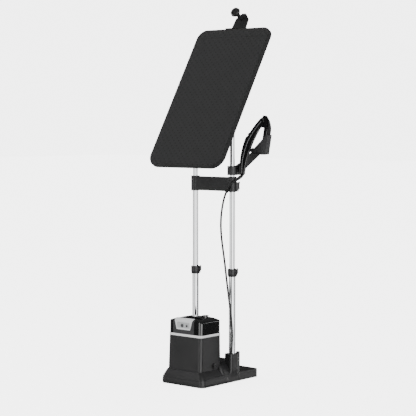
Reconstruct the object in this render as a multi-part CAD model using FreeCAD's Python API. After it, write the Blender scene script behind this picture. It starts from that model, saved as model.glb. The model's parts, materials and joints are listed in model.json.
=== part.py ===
"""Garment steam station: generator base, telescoping poles, tilting board, steam head, hanger hook.

Millimetres, +Z up, +X to the right of somebody facing the control panel, +Y to the back.
The origin is on the floor, at the middle of the base.
"""

import FreeCAD, Part
import math
import os

V = FreeCAD.Vector

# ---- driving dimensions ----
BASE_HALF_WIDTH = 120.0
BASE_HALF_DEPTH = 195.0
BASE_CORNER = 21.0
FOOT_HEIGHT = 3.0
WALL = 3.0

POLE_X = 106.0
POLE_Y = 22.0
LOWER_TUBE_R = 15.0
MIDDLE_TUBE_R = 12.5
UPPER_TUBE_R = 11.0
TUBE_WALL = 1.2
LOWER_TUBE_TOP = 483.0
MIDDLE_TUBE_BOTTOM = 400.0
COLLAR_BOTTOM = 466.0
COLLAR_TOP = 500.0
RUNNING_GAP = 0.08
SOCKET_FLOOR = 52.0
LINER_R = 16.0

CASING_BOTTOM = 63.0
CASING_TOP = 214.5
BAND_TOP = 224.5
TANK_SHOULDER = 279.0
TANK_TOP = 300.0
GEN_FRONT = -180.0
GEN_BACK = -36.5
GEN_HALF_WIDTH = 96.0
GEN_TAPER = 2.0
GEN_CORNER = 15.5

CROSSBAR_BOTTOM = 838.0
CROSSBAR_TOP = 904.0
CROSSBAR_COLLAR_R = 19.5

TILT_Z = 1205.0
TILT_REST = 30.9
BOARD_WIDTH = 417.0
BOARD_LENGTH = 706.0
BOARD_THICKNESS = 22.0
BOARD_FRONT = 55.4
BOARD_RISE = 27.5
COVER_THICKNESS = 5.0

HOLDER_BOTTOM = 911.0
HOLDER_TOP = 951.0
HEAD_TURN = 28.8
HOSE_R = 4.5

SIDES = {"left": -1, "right": 1}


# ---- helpers ----
def block(x0, x1, y0, y1, z0, z1):
    return Part.makeBox(x1 - x0, y1 - y0, z1 - z0, V(x0, y0, z0))


def rod(radius, start, end):
    start, end = V(*start), V(*end)
    return Part.makeCylinder(radius, (end - start).Length, start, end - start)


def pipe(outer, inner, start, end):
    return rod(outer, start, end).cut(rod(inner, start, end))


def cone(r0, r1, start, end):
    start, end = V(*start), V(*end)
    return Part.makeCone(r0, r1, (end - start).Length, start, end - start)


def rounded_wire(x0, x1, y0, y1, radius, z):
    """A rounded rectangle at height z."""
    k = radius * (1 - math.sqrt(0.5))
    edges = []
    corners = [(x1, y0, -1, 1), (x1, y1, -1, -1), (x0, y1, 1, -1), (x0, y0, 1, 1)]
    arcs = []
    for index, (x, y, sx, sy) in enumerate(corners):
        along_x, along_y = V(x + sx * radius, y, z), V(x, y + sy * radius, z)
        middle = V(x + sx * k, y + sy * k, z)
        first, last = (along_x, along_y) if index % 2 == 0 else (along_y, along_x)
        arcs.append((first, middle, last))
    for index, (first, middle, last) in enumerate(arcs):
        edges.append(Part.Arc(first, middle, last).toShape())
        edges.append(Part.LineSegment(last, arcs[(index + 1) % 4][0]).toShape())
    return Part.Wire(edges)


def rounded_block(x0, x1, y0, y1, radius, z0, z1):
    return Part.Face(rounded_wire(x0, x1, y0, y1, radius, z0)).extrude(V(0, 0, z1 - z0))


def loft(wires, ruled=False):
    return Part.makeLoft(wires, True, ruled)


def outline(points, height):
    """A closed outline in the XZ plane, extruded evenly about Y = 0.
    A point with a third value True is the middle of an arc between its neighbours."""
    edges = []
    index, count = 0, len(points)
    while index < count:
        here = V(points[index][0], -height / 2, points[index][1])
        following = points[(index + 1) % count]
        if len(following) == 3:
            after = points[(index + 2) % count]
            middle = V(following[0], -height / 2, following[1])
            edges.append(Part.Arc(here, middle, V(after[0], -height / 2, after[1])).toShape())
            index += 2
        else:
            edges.append(Part.LineSegment(here, V(following[0], -height / 2, following[1])).toShape())
            index += 1
    return Part.Face(Part.Wire(edges)).extrude(V(0, height, 0))


def join(shapes):
    whole = shapes[0]
    for shape in shapes[1:]:
        whole = whole.fuse(shape)
    return whole.removeSplitter()


def soften(shape, radius, wanted):
    """Rounds the edges whose middle point passes the test."""
    edges = [e for e in shape.Edges if wanted(e.CenterOfMass, e)]
    return shape.makeFillet(radius, edges)


def mirrored(shape):
    return shape.mirror(V(0, 0, 0), V(1, 0, 0))


def save(name, shape):
    solids = shape.Solids if hasattr(shape, "Solids") else []
    whole = shape if len(solids) == 1 else Part.makeCompound(solids)
    if not whole.isValid():
        print("NOT VALID", name)
    whole.exportStep("parts/%s.step" % name)
    print("%-22s solids %d volume %.1f cm3" % (name, len(solids), whole.Volume / 1000))


# ---- base ----
def base_deck(inset, z0, crown_drop):
    """The low platform: a rounded outline with a bowed rear and a top that crowns lengthways."""
    w, d, r = BASE_HALF_WIDTH - inset, BASE_HALF_DEPTH - inset, BASE_CORNER - inset
    k = r * (1 - math.sqrt(0.5))
    bow = 5.0
    edges = [
        Part.LineSegment(V(-w + r, -d, z0), V(w - r, -d, z0)).toShape(),
        Part.Arc(V(w - r, -d, z0), V(w - k, -d + k, z0), V(w, -d + r, z0)).toShape(),
        Part.LineSegment(V(w, -d + r, z0), V(w, d - r, z0)).toShape(),
        Part.Arc(V(w, d - r, z0), V(w - k, d - k, z0), V(w - r, d, z0)).toShape(),
        Part.Arc(V(w - r, d, z0), V(0, d + bow, z0), V(-w + r, d, z0)).toShape(),
        Part.Arc(V(-w + r, d, z0), V(-w + k, d - k, z0), V(-w, d - r, z0)).toShape(),
        Part.LineSegment(V(-w, d - r, z0), V(-w, -d + r, z0)).toShape(),
        Part.Arc(V(-w, -d + r, z0), V(-w + k, -d + k, z0), V(-w + r, -d, z0)).toShape(),
    ]
    prism = Part.Face(Part.Wire(edges)).extrude(V(0, 0, 60))
    low, high, mid_y, reach = 32.0 - crown_drop, 42.0 - crown_drop, 47.0, 260.0
    a, b, c = V(-150, mid_y - reach, low), V(-150, mid_y, high), V(-150, mid_y + reach, low)
    foot_a, foot_c = V(-150, mid_y - reach, 0), V(-150, mid_y + reach, 0)
    side = Part.Wire([
        Part.Arc(a, b, c).toShape(),
        Part.LineSegment(c, foot_c).toShape(),
        Part.LineSegment(foot_c, foot_a).toShape(),
        Part.LineSegment(foot_a, a).toShape(),
    ])
    return prism.common(Part.Face(side).extrude(V(300, 0, 0)))


def base_skirt(inset, top):
    """The convex skirt that rises from the floor to the foot of the generator."""
    levels = [(3.0, 120.0, -195.0, -8.0, 21.0), (20.0, 122.0, -196.0, -8.0, 22.0),
              (44.0, 114.0, -191.5, -12.0, 21.0), (top, 100.0, -184.5, -30.0, 19.0)]
    wires = [rounded_wire(-w + inset, w - inset, y0 + inset, y1 - inset, r - inset, z)
             for z, w, y0, y1, r in levels]
    return loft(wires)


def base_saddle(inset):
    """The bridge behind the generator that carries the pole towers."""
    levels = [(3.0, 119.0, -62.0, 84.0, 20.0), (40.0, 118.0, -62.0, 76.0, 20.0),
              (72.0, 107.0, -60.0, 62.0, 18.0), (96.0, 90.0, -52.0, 50.0, 16.0)]
    wires = [rounded_wire(-w + inset, w - inset, y0 + inset, y1 - inset, r - inset,
                          z - (inset if z > 90 else 0)) for z, w, y0, y1, r in levels]
    return loft(wires)


TOWER = {"x0": 82.0, "x1": 125.0, "y0": -6.0, "y1": 46.0, "top": 127.0}
POST = {"x": 113.0, "y": 54.0, "r": 8.5, "top": 133.0}
GLAND = {"x": 118.5, "y": 4.0, "flange": 6.2, "top": 131.0}
PIPE_R = 3.0
PIPE_ROUTE = [(46, -112, 112), (60, -112, 112), (70, -75, 100), (72, -40, 84), (92, -8, 74),
              (GLAND["x"], GLAND["y"], 70), (GLAND["x"], GLAND["y"], 108)]


def tower():
    """A pole tower: its foot flares into the deck and its outer side stands proud of it."""
    t = TOWER
    foot = rounded_wire(t["x0"] - 6, t["x1"] - 5.5, t["y0"] - 7, t["y1"] + 5, 12, 24)
    waist = rounded_wire(t["x0"] - 1, t["x1"], t["y0"] - 2, t["y1"] + 1, 11, 56)
    top = rounded_wire(t["x0"], t["x1"], t["y0"], t["y1"], 11, t["top"])
    return loft([foot, waist, top], ruled=True)


def base_platform():
    shell = join([base_deck(0, 3, 0), base_skirt(0, 66.0), base_saddle(0)])
    for side in SIDES.values():
        piece = tower()
        post = rod(POST["r"], (POST["x"], POST["y"], 20), (POST["x"], POST["y"], POST["top"]))
        post = soften(post, 3.0, lambda c, e: c.z > POST["top"] - 1)
        piece = piece.fuse(post)
        shell = shell.fuse(piece if side > 0 else mirrored(piece))
    hollow = join([base_deck(WALL, 0, WALL), base_skirt(WALL, 62.0), base_saddle(WALL)])
    hollow = hollow.fuse(block(-110, 110, -180, 170, 0, 4))
    seat = rounded_block(-GEN_HALF_WIDTH - 1.2, GEN_HALF_WIDTH + 1.2, GEN_FRONT - 1.2,
                         GEN_BACK + 1.2, GEN_CORNER + 1, CASING_BOTTOM - 1.2, 200)
    shell = shell.cut(hollow).cut(seat)
    for side in SIDES.values():
        x = side * POLE_X
        shell = shell.cut(rod(LINER_R, (x, POLE_Y, SOCKET_FLOOR), (x, POLE_Y, 121)))
        shell = shell.cut(rod(LOWER_TUBE_R + 0.4, (x, POLE_Y, 110), (x, POLE_Y, 140)))
    shell = shell.cut(rod(5.6, (GLAND["x"], GLAND["y"], 60), (GLAND["x"], GLAND["y"], 140)))
    shell = shell.cut(rod(7.0, (0, 180, 20), (0, 210, 20)))
    return shell.cut(pipe_run(PIPE_ROUTE[2:], PIPE_R + 0.6))


def base_plate():
    return base_deck(WALL + 0.5, 3, 0).common(block(-150, 150, -220, 220, 3, 6))


FEET = [(0.0, 0.0), (88.0, 160.0), (-88.0, 160.0), (88.0, -160.0), (-88.0, -160.0)]
SCREWS = [(60.0, 60.0), (-60.0, 60.0), (60.0, -60.0), (-60.0, -60.0), (0.0, 120.0), (0.0, -120.0)]


def rubber_feet():
    return Part.makeCompound([cone(11.0, 12.0, (x, y, 0), (x, y, FOOT_HEIGHT)) for x, y in FEET])


def bottom_screws():
    pieces = []
    for x, y in SCREWS:
        head = rod(4.0, (x, y, 1.2), (x, y, 3.0))
        slot = block(x - 3, x + 3, y - 0.5, y + 0.5, 1.0, 1.9)
        pieces.append(head.cut(slot))
    return Part.makeCompound(pieces)


def socket_liners():
    pieces = []
    for side in SIDES.values():
        x = side * POLE_X
        cup = rod(LINER_R, (x, POLE_Y, SOCKET_FLOOR), (x, POLE_Y, 119))
        pieces.append(cup.cut(rod(LOWER_TUBE_R + 0.05, (x, POLE_Y, SOCKET_FLOOR + 4), (x, POLE_Y, 130))))
    return Part.makeCompound(pieces)


def lower_tube(side):
    x = side * POLE_X
    return pipe(LOWER_TUBE_R, LOWER_TUBE_R - TUBE_WALL, (x, POLE_Y, SOCKET_FLOOR + 4),
                (x, POLE_Y, LOWER_TUBE_TOP))


LEVER_TURN = -45.0
COLLAR_PIN = {"y": 18.0, "z": COLLAR_BOTTOM + 7.0, "r": 1.2}
MAST_PIN = {"y": 23.5, "z": CROSSBAR_BOTTOM + 6.5, "r": 1.5}


def at_pole(shape, side):
    """Turns a piece that was modelled behind the Z axis to the levers' side, and puts it on a pole."""
    shape = shape.copy()
    shape.rotate(V(0, 0, 0), V(0, 0, 1), LEVER_TURN)
    shape.translate(V(side * POLE_X, POLE_Y, 0))
    return shape


def lower_collar(side):
    """A clamp collar: it grips the lower tube and guides the middle tube."""
    low, high = COLLAR_BOTTOM, COLLAR_TOP
    body = cone(18.0, 20.0, (0, 0, low), (0, 0, low + 11)).fuse(rod(20.0, (0, 0, low + 11), (0, 0, high)))
    body = soften(body.removeSplitter(), 1.6, lambda c, e: c.z > high - 1)
    body = body.fuse(block(-6.5, 6.5, 13, 20.8, low + 3, high - 3))
    body = body.cut(block(-3.2, 3.2, 15.3, 26, low + 2, high + 1))
    body = body.cut(rod(COLLAR_PIN["r"] + 0.02, (-8, COLLAR_PIN["y"], COLLAR_PIN["z"]),
                        (8, COLLAR_PIN["y"], COLLAR_PIN["z"])))
    body = body.cut(rod(LOWER_TUBE_R + 0.04, (0, 0, 400), (0, 0, LOWER_TUBE_TOP)))
    return at_pole(body.cut(rod(MIDDLE_TUBE_R + RUNNING_GAP, (0, 0, 400), (0, 0, 520))), side)


def collar_lever(side):
    """The clamp lever: an eye on the cross pin at its foot, a strip in the slot, and a finger pad."""
    y, z = COLLAR_PIN["y"], COLLAR_PIN["z"]
    eye = rod(2.3, (-2.8, y, z), (2.8, y, z))
    strip = block(-2.8, 2.8, y - 2.2, 22.5, z, COLLAR_TOP - 4)
    profile = [(21.3, z + 4), (25.6, z + 9), (25.6, COLLAR_TOP + 1), (23.0, COLLAR_TOP + 3), (21.3, COLLAR_TOP + 3)]
    pad = outline(profile, 18.0)
    pad.rotate(V(0, 0, 0), V(0, 0, 1), 90)
    lever = join([eye, strip, pad])
    return at_pole(lever.cut(rod(COLLAR_PIN["r"] + 0.06, (-5, y, z), (5, y, z))), side)


def cross_pins(spec, half_length):
    return Part.makeCompound([at_pole(rod(spec["r"], (-half_length, spec["y"], spec["z"]),
                                          (half_length, spec["y"], spec["z"])), side)
                              for side in SIDES.values()])


# ---- generator ----
def generator_wire(z, grow=0.0):
    """The generator's outline, which narrows from the casing's foot to the tank's shoulder."""
    share = (z - CASING_BOTTOM) / (TANK_SHOULDER - CASING_BOTTOM)
    w = GEN_HALF_WIDTH - GEN_TAPER * share + grow
    return rounded_wire(-w, w, GEN_FRONT + 9 * share - grow, GEN_BACK - 2 * share + grow,
                        GEN_CORNER + grow, z)


def generator_casing():
    outer = loft([generator_wire(CASING_BOTTOM), generator_wire(CASING_TOP)], ruled=True)
    inner = loft([generator_wire(CASING_BOTTOM - 1, -WALL), generator_wire(CASING_TOP - WALL, -WALL)],
                 ruled=True)
    casing = outer.cut(inner)
    casing = casing.cut(rod(13.0, (82, -86, 84), (112, -86, 84)))
    for x in (-30.0, 30.0):
        casing = casing.cut(rod(6.0, (x, -100, 200), (x, -100, 220)))
    return casing.cut(pipe_run(PIPE_ROUTE[2:5], PIPE_R + 0.6))


def trim_band():
    outer = loft([generator_wire(CASING_TOP + 0.1, 0.5), generator_wire(BAND_TOP, 0.5)], ruled=True)
    inner = loft([generator_wire(CASING_TOP - 1, -3.5), generator_wire(BAND_TOP + 1, -3.5)], ruled=True)
    return outer.cut(inner)


def tank_deck():
    """The floor that the tank stands on, inside the trim band."""
    deck = loft([generator_wire(CASING_TOP + 0.1, -3.7), generator_wire(BAND_TOP - 2.0, -3.7)], ruled=True)
    for x in (-30.0, 30.0):
        deck = deck.cut(rod(6.0, (x, -100, 200), (x, -100, 230)))
    return deck


TANK_MIDDLE = -106.0
NOTCH_BACK = -155.5
LID = {"x": 38.0, "y": -82.0, "neck": 296.6}
BUTTONS = {"power": (-14.0, 260.0, 7.0), "mode": (12.0, 260.0, 4.5)}
PANEL = {"half_top": 50.0, "half_bottom": 38.0, "centre": -8.0, "z0": 243.0, "z1": 284.0}
COLUMN_HALF = 60.0
COLUMN_GAP = 0.8


def column_space(grow, z0, z1, y1):
    """The straight-sided space of the column in front of the tank, back to y1."""
    half = COLUMN_HALF + grow
    return block(PANEL["centre"] - half, PANEL["centre"] + half, -200, y1, z0, z1)


def panel_profile(z0, z1, y0, y1):
    """The face plate's outline: narrower at the bottom, seen from the front, and cut from y0 to y1."""
    c, p = PANEL["centre"], PANEL
    slope = (p["half_top"] - p["half_bottom"]) / (p["z1"] - p["z0"])
    low = p["half_bottom"] + slope * (z0 - p["z0"])
    high = p["half_bottom"] + slope * (z1 - p["z0"])
    points = [(c - low, z0), (c + low, z0), (c + high, z1), (c - high, z1)]
    solid = outline(points, y1 - y0)
    solid.translate(V(0, (y0 + y1) / 2, 0))
    return solid


def tank_body(grow=0.0):
    """The tank's outside: straight sides under a top that is crowned both ways, with rounded shoulders."""
    sides = loft([generator_wire(BAND_TOP + 0.6, grow - 1.0), generator_wire(TANK_SHOULDER, grow),
                  generator_wire(TANK_SHOULDER + 30, grow)], ruled=True)
    across = dome_profile([(100.0, 262.0), (91.4, 275.4), (78.0, 284.0), (0.0, 298.0)], grow, 240.0)
    along = dome_profile([(69.0, 272.0), (62.0, 284.0), (50.0, 291.0), (0.0, 298.0)], grow, 240.0)
    along.rotate(V(0, 0, 0), V(0, 0, 1), 90)
    for profile in (across, along):
        profile.translate(V(0, TANK_MIDDLE, 0))
    return sides.common(across).common(along)


def dome_profile(points, grow, length):
    """A prism whose outline is a crown with rounded shoulders, even about X = 0."""
    shoulder, arc, crown_end, apex = points
    right = [(shoulder[0] + grow, shoulder[1]), (arc[0] + 0.7 * grow, arc[1] + 0.7 * grow),
             (crown_end[0] + 0.3 * grow, crown_end[1] + 0.95 * grow)]
    left = [(-x, z) for x, z in right]
    return outline([(right[0][0], 200.0), right[0], right[1] + (True,), right[2], (0.0, apex[1] + grow, True),
                    left[2], left[1] + (True,), left[0], (left[0][0], 200.0)], length)


def carry_recess(grow=0.0):
    """The arched hand recess across the top, behind the panel."""
    centre_y, radius, width = 309.0, 460.0, 22.0
    floor = TANK_SHOULDER - 14 - grow
    outer = rod(radius + grow, (0, centre_y, floor), (0, centre_y, 330))
    inner = rod(radius - width - grow, (0, centre_y, floor - 5), (0, centre_y, 340))
    ring = outer.cut(inner)
    return ring.common(block(-62 - grow, 62 + grow, -170, -100, floor, 330))


def tank_shell():
    inner = tank_body(-2.6)
    inner.translate(V(0, 0, -2.6))
    shell = tank_body().cut(inner.common(block(-120, 120, -200, 0, BAND_TOP + 4, 320)))
    shell = shell.fuse(carry_recess(2.2).common(tank_body()))
    shell = shell.cut(carry_recess())
    pocket = column_space(COLUMN_GAP + 2.4, BAND_TOP + 4, 320, NOTCH_BACK + 2.4).common(tank_body())
    shell = shell.fuse(pocket).cut(column_space(COLUMN_GAP, 200, 330, NOTCH_BACK))
    x, y, neck = LID["x"], LID["y"], LID["neck"]
    shell = shell.fuse(rod(15.0, (x, y, neck - 12), (x, y, neck))).cut(rod(11.0, (x, y, 270), (x, y, 320)))
    return shell.cut(rod(5.0, (-30, -100, 215), (-30, -100, 240)))


def control_panel():
    """A fixed column in front of the tank with a face that folds back over the top edge."""
    column = column_space(0.0, BAND_TOP - 2, TANK_TOP, NOTCH_BACK - COLUMN_GAP)
    foot = loft([generator_wire(BAND_TOP - 2, -5), generator_wire(BAND_TOP + 1, -5)])
    body = column.common(tank_body(-0.2).fuse(foot))
    for x, z, radius in BUTTONS.values():
        body = body.cut(rod(radius + 0.4, (x, -200, z), (x, -163, z)))
    return max(body.Solids, key=lambda solid: solid.Volume)


def panel_face():
    """The pale face plate that lies on the column and wraps over its top."""
    plate = panel_profile(PANEL["z0"], TANK_TOP, -190, NOTCH_BACK - 1.0)
    for x, z, radius in BUTTONS.values():
        plate = plate.cut(rod(radius + 0.4, (x, -200, z), (x, -150, z)))
    skin = tank_body(1.4).cut(tank_body(0.1))
    face = plate.common(skin)
    return max(face.Solids, key=lambda s: s.Volume)


def push_button(x, z, radius):
    front = GEN_FRONT + 9 * (z - CASING_BOTTOM) / (TANK_SHOULDER - CASING_BOTTOM)
    return rod(radius, (x, front - 2.9, z), (x, front + 5.0, z))


def tank_lid():
    """The flap over the filling hole on the tank's top."""
    x, y, low = LID["x"], LID["y"], LID["neck"] + 0.4
    lid = rod(14.0, (x, y, low), (x, y, low + 3)).fuse(rod(10.0, (x, y, low - 2.6), (x, y, low + 1)))
    tab = rounded_block(x - 8, x + 8, y - 18, y - 8, 3, low, low + 3)
    knuckle = block(x - 6, x + 6, y + 12, y + 18, low, low + 3)
    barrel = rod(1.5, (x - 6, y + 18, low + 1.5), (x + 6, y + 18, low + 1.5))
    return join([lid, tab, knuckle, barrel])


def tank_valve():
    return rod(4.8, (-30, -100, BAND_TOP - 6), (-30, -100, BAND_TOP + 14)).fuse(
        rod(8.0, (-30, -100, BAND_TOP + 5), (-30, -100, BAND_TOP + 9)))


def descaling_cap():
    cap = rod(12.5, (88, -86, 84), (99.5, -86, 84))
    grip = block(98, 103, -96, -76, 82, 86)
    return cap.fuse(grip.common(rod(12.0, (90, -86, 84), (105, -86, 84)))).removeSplitter()


def boiler():
    drum = rod(44.0, (-52, -112, 112), (46, -112, 112))
    return soften(drum, 10.0, lambda c, e: True)


def pipe_run(points, radius):
    """Straight lengths of round rod with a ball at every bend."""
    pieces = [rod(radius, a, b) for a, b in zip(points, points[1:])]
    pieces += [Part.makeSphere(radius, V(*point)) for point in points[1:-1]]
    return join(pieces)


def steam_pipe():
    """From the boiler's outlet to the hose gland, through the base."""
    return pipe_run(PIPE_ROUTE, PIPE_R)


def hose_gland():
    """The flanged sleeve in the right tower's top that the hose comes out of."""
    x, y, top = GLAND["x"], GLAND["y"], TOWER["top"]
    sleeve = pipe(5.5, HOSE_R + 0.1, (x, y, top - 15), (x, y, top))
    return sleeve.fuse(pipe(GLAND["flange"], HOSE_R + 0.1, (x, y, top), (x, y, GLAND["top"]))).removeSplitter()


# ---- mast ----
def middle_tube(side):
    x = side * POLE_X
    return pipe(MIDDLE_TUBE_R, MIDDLE_TUBE_R - TUBE_WALL, (x, POLE_Y, MIDDLE_TUBE_BOTTOM),
                (x, POLE_Y, CROSSBAR_TOP - 12))


def upper_tube(side):
    x = side * POLE_X
    return pipe(UPPER_TUBE_R, UPPER_TUBE_R - TUBE_WALL, (x, POLE_Y, CROSSBAR_BOTTOM + 2),
                (x, POLE_Y, TILT_Z - 17))


def guide_bushes():
    pieces = []
    for side in SIDES.values():
        x = side * POLE_X
        bush = rod(LOWER_TUBE_R - TUBE_WALL - RUNNING_GAP, (x, POLE_Y, MIDDLE_TUBE_BOTTOM - 14),
                   (x, POLE_Y, MIDDLE_TUBE_BOTTOM))
        plug = rod(MIDDLE_TUBE_R - TUBE_WALL, (x, POLE_Y, MIDDLE_TUBE_BOTTOM),
                   (x, POLE_Y, MIDDLE_TUBE_BOTTOM + 16))
        pieces.append(bush.fuse(plug).cut(rod(6, (x, POLE_Y, 380), (x, POLE_Y, 430))))
    return Part.makeCompound(pieces)


def crossbar():
    """A hollow plate between two collars, each with ears for a clamp lever."""
    low, high = CROSSBAR_BOTTOM, CROSSBAR_TOP
    pieces = [rounded_block(-POLE_X, POLE_X, POLE_Y - 14, POLE_Y + 2, 2.0, low + 2, high - 2)]
    for side in SIDES.values():
        collar = rod(CROSSBAR_COLLAR_R, (0, 0, low), (0, 0, high))
        collar = soften(collar, 1.5, lambda c, e: len(e.Vertexes) == 1)
        pieces.append(at_pole(collar.fuse(block(-9, 9, 10, 27, low + 2, low + 42)), side))
    bar = join(pieces)
    bar = bar.cut(block(-POLE_X + 24, POLE_X - 24, POLE_Y - 9, POLE_Y + 3, low + 8, high - 8))
    for side in SIDES.values():
        x = side * POLE_X
        bar = bar.cut(at_pole(block(-3.2, 3.2, 19.7, 30, low, low + 45), side))
        bar = bar.cut(at_pole(rod(MAST_PIN["r"] + 0.02, (-10, MAST_PIN["y"], MAST_PIN["z"]),
                                  (10, MAST_PIN["y"], MAST_PIN["z"])), side))
        bar = bar.cut(rod(MIDDLE_TUBE_R + 0.03, (x, POLE_Y, 800), (x, POLE_Y, high - 12)))
        bar = bar.cut(rod(UPPER_TUBE_R + 0.03, (x, POLE_Y, 800), (x, POLE_Y, 950)))
    return bar


def crossbar_cover():
    """The back cover that closes the crossbar's hollow."""
    return rounded_block(-POLE_X + 24.3, POLE_X - 24.3, POLE_Y - 1.2, POLE_Y + 1.8, 1.0,
                         CROSSBAR_BOTTOM + 8.3, CROSSBAR_TOP - 8.3)


def mast_lever(side):
    """A clamp lever on the crossbar's collar, with a hollowed finger pad."""
    y, z, high = MAST_PIN["y"], MAST_PIN["z"], CROSSBAR_BOTTOM + 44
    eye = rod(3.1, (-2.8, y, z), (2.8, y, z))
    strip = block(-2.8, 2.8, y - 3.0, 29, z, high - 4)
    pad = rounded_block(-10, 10, 27.6, 33.4, 1.5, z + 5, high)
    pad = pad.cut(rod(62.0, (-20, 93.4, (z + high) / 2), (20, 93.4, (z + high) / 2)))
    lever = join([eye, strip, pad])
    return at_pole(lever.cut(rod(MAST_PIN["r"] + 0.06, (-5, y, z), (5, y, z))), side)


CLIP = (98.0, -6.5, 841.0)


def hose_clip():
    """An open ring on the front of the right collar that holds the hose."""
    x, y, z = CLIP
    axis = V(*UPPER_ROUTE[1]) - V(*UPPER_ROUTE[0])
    axis.normalize()
    start = V(x, y, z) - axis * 4
    foot = block(x - 6, x + 6, y + 5.5, POLE_Y - 14, z + 1, z + 12)
    clip = Part.makeCylinder(7.4, 8, start, axis).fuse(foot)
    clip = clip.cut(Part.makeCylinder(HOSE_R + 0.3, 40, start - axis * 15, axis))
    return clip.cut(rod(CROSSBAR_COLLAR_R + 0.05, (POLE_X, POLE_Y, z - 20), (POLE_X, POLE_Y, z + 30)))


def head_bracket():
    """The cross tube at the pole tops with its two hinge ears."""
    bar = block(-POLE_X, POLE_X, POLE_Y - 9, POLE_Y + 9, TILT_Z - 41, TILT_Z - 19)
    pieces = [bar]
    for side in SIDES.values():
        x = side * POLE_X
        pieces.append(rod(15.0, (x, POLE_Y, TILT_Z - 45), (x, POLE_Y, TILT_Z - 14)))
        ear = block(0, 6, POLE_Y - 11, POLE_Y + 11, TILT_Z - 30, TILT_Z).fuse(
            rod(11.0, (0, POLE_Y, TILT_Z), (6, POLE_Y, TILT_Z)))
        ear.translate(V(30.0 if side > 0 else -36.0, 0, 0))
        pieces.append(ear)
    bracket = join(pieces)
    for side in SIDES.values():
        x = side * POLE_X
        bracket = bracket.cut(rod(UPPER_TUBE_R + 0.03, (x, POLE_Y, 1100), (x, POLE_Y, TILT_Z - 17)))
    return bracket.cut(rod(5.02, (-60, POLE_Y, TILT_Z), (60, POLE_Y, TILT_Z)))


def hinge_pin():
    return rod(5.0, (-38, POLE_Y, TILT_Z), (50, POLE_Y, TILT_Z))


def tilt_lever():
    """The lock lever on the hinge pin's end."""
    hub = rod(10.0, (38, POLE_Y, TILT_Z), (48, POLE_Y, TILT_Z))
    arm = rounded_block(40, 47, POLE_Y + 4, POLE_Y + 60, 2.5, TILT_Z - 6, TILT_Z + 6)
    return hub.fuse(arm).removeSplitter().cut(rod(5.06, (30, POLE_Y, TILT_Z), (60, POLE_Y, TILT_Z)))


# ---- board: modelled upright about the hinge, then tilted back ----
def tilt(shape):
    shape = shape.copy()
    shape.rotate(V(0, POLE_Y, TILT_Z), V(1, 0, 0), -TILT_REST)
    return shape


BOARD_Z0 = TILT_Z + BOARD_RISE - BOARD_LENGTH / 2
BOARD_Z1 = TILT_Z + BOARD_RISE + BOARD_LENGTH / 2
BOARD_Y0 = POLE_Y - BOARD_FRONT
BOARD_Y1 = BOARD_Y0 + BOARD_THICKNESS


def board_slab(y0, y1, inset):
    """An upright slab with the board's outline: larger corners at the bottom than at the top."""
    half = BOARD_WIDTH / 2 - inset
    z0, z1 = BOARD_Z0 + inset, BOARD_Z1 - inset
    low, high = 56.0 - inset, 48.0 - inset
    kl, kh = low * (1 - math.sqrt(0.5)), high * (1 - math.sqrt(0.5))
    points = [(-half + low, z0), (half - low, z0), (half - kl, z0 + kl, True), (half, z0 + low),
              (half, z1 - high), (half - kh, z1 - kh, True), (half - high, z1),
              (-half + high, z1), (-half + kh, z1 - kh, True), (-half, z1 - high),
              (-half, z0 + low), (-half + kl, z0 + kl, True)]
    slab = outline(points, y1 - y0)
    slab.translate(V(0, (y0 + y1) / 2, 0))
    return slab


def board_core():
    core = board_slab(BOARD_Y0 + COVER_THICKNESS, BOARD_Y1, 5.0)
    hollow = board_slab(BOARD_Y0 + COVER_THICKNESS + 2.5, BOARD_Y1 - 2.5, 8.0)
    return tilt(core.cut(hollow))


def board_cover():
    """The soft cover: a pad over the front and the rim."""
    outer = board_slab(BOARD_Y0, BOARD_Y1 - 3.0, 0.0)
    return tilt(outer.cut(board_slab(BOARD_Y0 + COVER_THICKNESS, BOARD_Y1 + 5, 5.0)))


def board_hinge():
    """The block on the board's back that turns on the hinge pin."""
    plate = rounded_block(-60, 60, BOARD_Y1, BOARD_Y1 + 4, 1.5, TILT_Z - 34, TILT_Z + 34)
    arm = block(-24, 24, BOARD_Y1 + 3, POLE_Y, TILT_Z - 11, TILT_Z + 11)
    barrel = rod(12.0, (-24, POLE_Y, TILT_Z), (24, POLE_Y, TILT_Z))
    block_ = join([plate, arm, barrel])
    return tilt(block_.cut(rod(5.06, (-60, POLE_Y, TILT_Z), (60, POLE_Y, TILT_Z))))


HOOK_Z = BOARD_Z1 + 5.0
HOOK_Y = BOARD_Y1 + 1.0


def hook_mount():
    """The clip plate over the board's top edge, with the ears of the arm's hinge."""
    top = block(-58, 58, BOARD_Y0 + 1, BOARD_Y1 + 3, BOARD_Z1 + 0.4, BOARD_Z1 + 3.0)
    back = block(-58, 58, BOARD_Y1 + 0.2, BOARD_Y1 + 3, BOARD_Z1 - 42, BOARD_Z1 + 3.0)
    pieces = [top, back]
    for x in (-45.5, 40.0):
        ear = block(x, x + 5.5, HOOK_Y - 6, HOOK_Y + 6, BOARD_Z1 + 1, HOOK_Z + 2)
        ear = ear.fuse(rod(6.0, (x, HOOK_Y, HOOK_Z + 3), (x + 5.5, HOOK_Y, HOOK_Z + 3)))
        pieces.append(ear)
    mount = join(pieces)
    return tilt(mount.cut(rod(2.05, (-60, HOOK_Y, HOOK_Z + 3), (60, HOOK_Y, HOOK_Z + 3))))


def hook_pin():
    return tilt(rod(2.0, (-46.5, HOOK_Y, HOOK_Z + 3), (46.5, HOOK_Y, HOOK_Z + 3)))


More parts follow.
